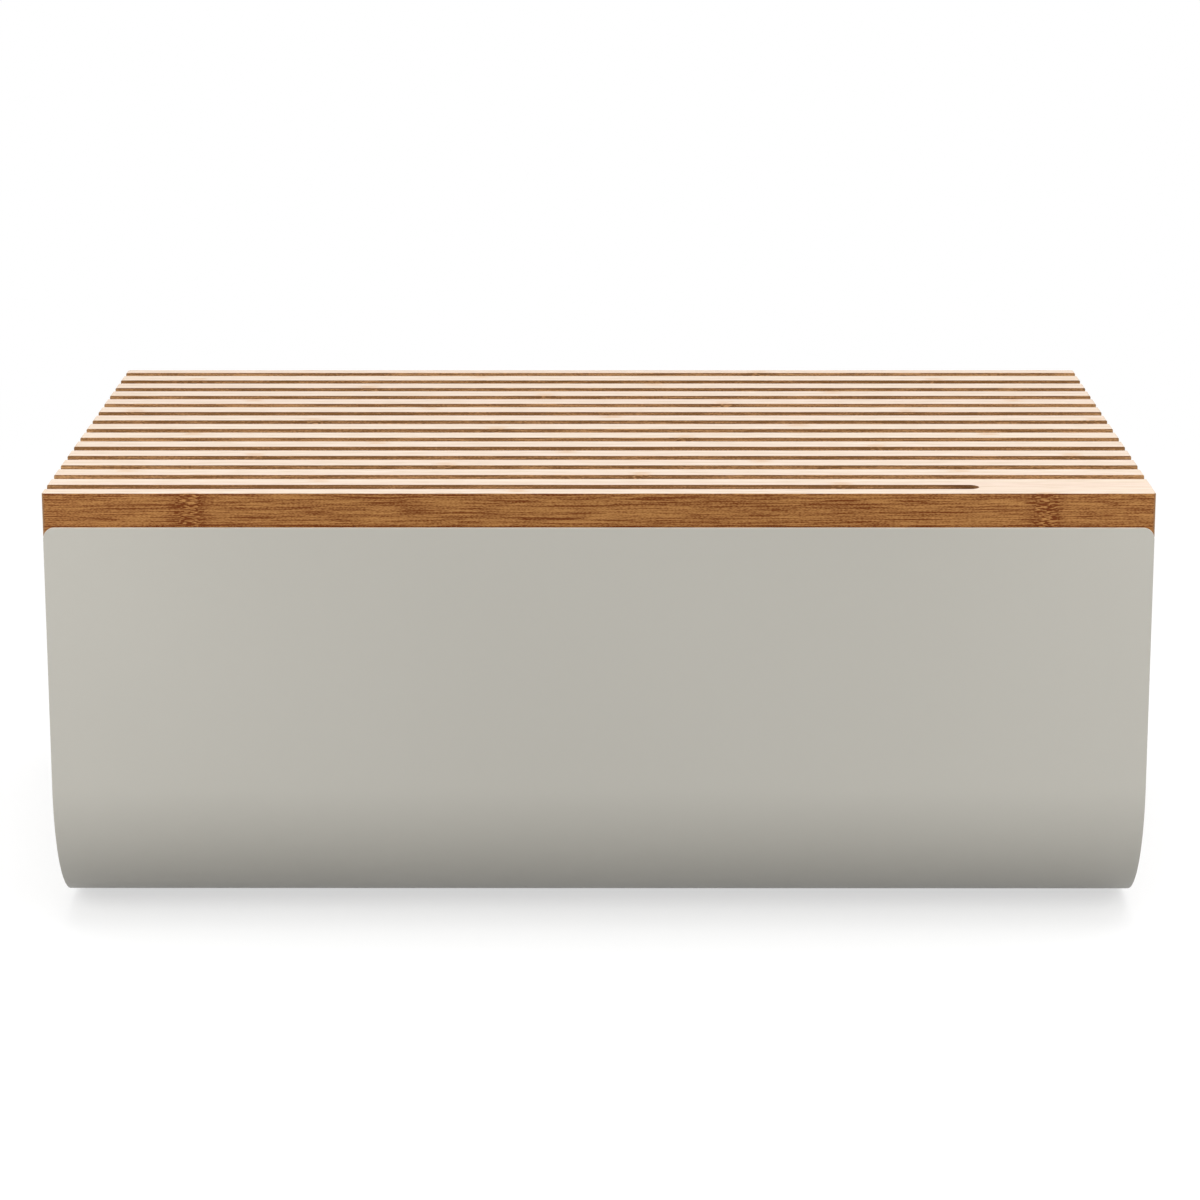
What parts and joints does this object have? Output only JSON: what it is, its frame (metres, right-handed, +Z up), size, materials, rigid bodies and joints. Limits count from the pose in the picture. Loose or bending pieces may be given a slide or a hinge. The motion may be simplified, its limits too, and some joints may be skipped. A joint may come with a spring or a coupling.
{
  "type": "bread box",
  "caption": "Rectangular kitchen bread box of bent, coated sheet steel with rounded lower edges. A loose bamboo cutting board with crumb grooves is its lift-off lid.",
  "frame": {"origin": "under the middle of the box, on the surface that its feet stand on", "axes": "+X along the box's length, to the right as seen from the front; -Y is the front; +Z is up"},
  "size_m": [0.34, 0.215, 0.14],
  "materials": {
    "coated_steel": "satin warm grey epoxy coating",
    "bamboo": "oiled, planed bamboo strips glued on edge",
    "rubber": "matt"
  },
  "bodies": {
    "box": {"shell": "coated_steel", "end_panel_left": "coated_steel", "end_panel_right": "coated_steel", "foot_front_left": "rubber", "foot_front_right": "rubber", "foot_rear_left": "rubber", "foot_rear_right": "rubber"},
    "lid": {"board": "bamboo"}
  },
  "joints": [
    {"name": "lid_lift", "type": "slide", "parent": "box", "child": "lid", "axis": [0, 0, 1], "range_m": [0, 0.2]}
  ]
}
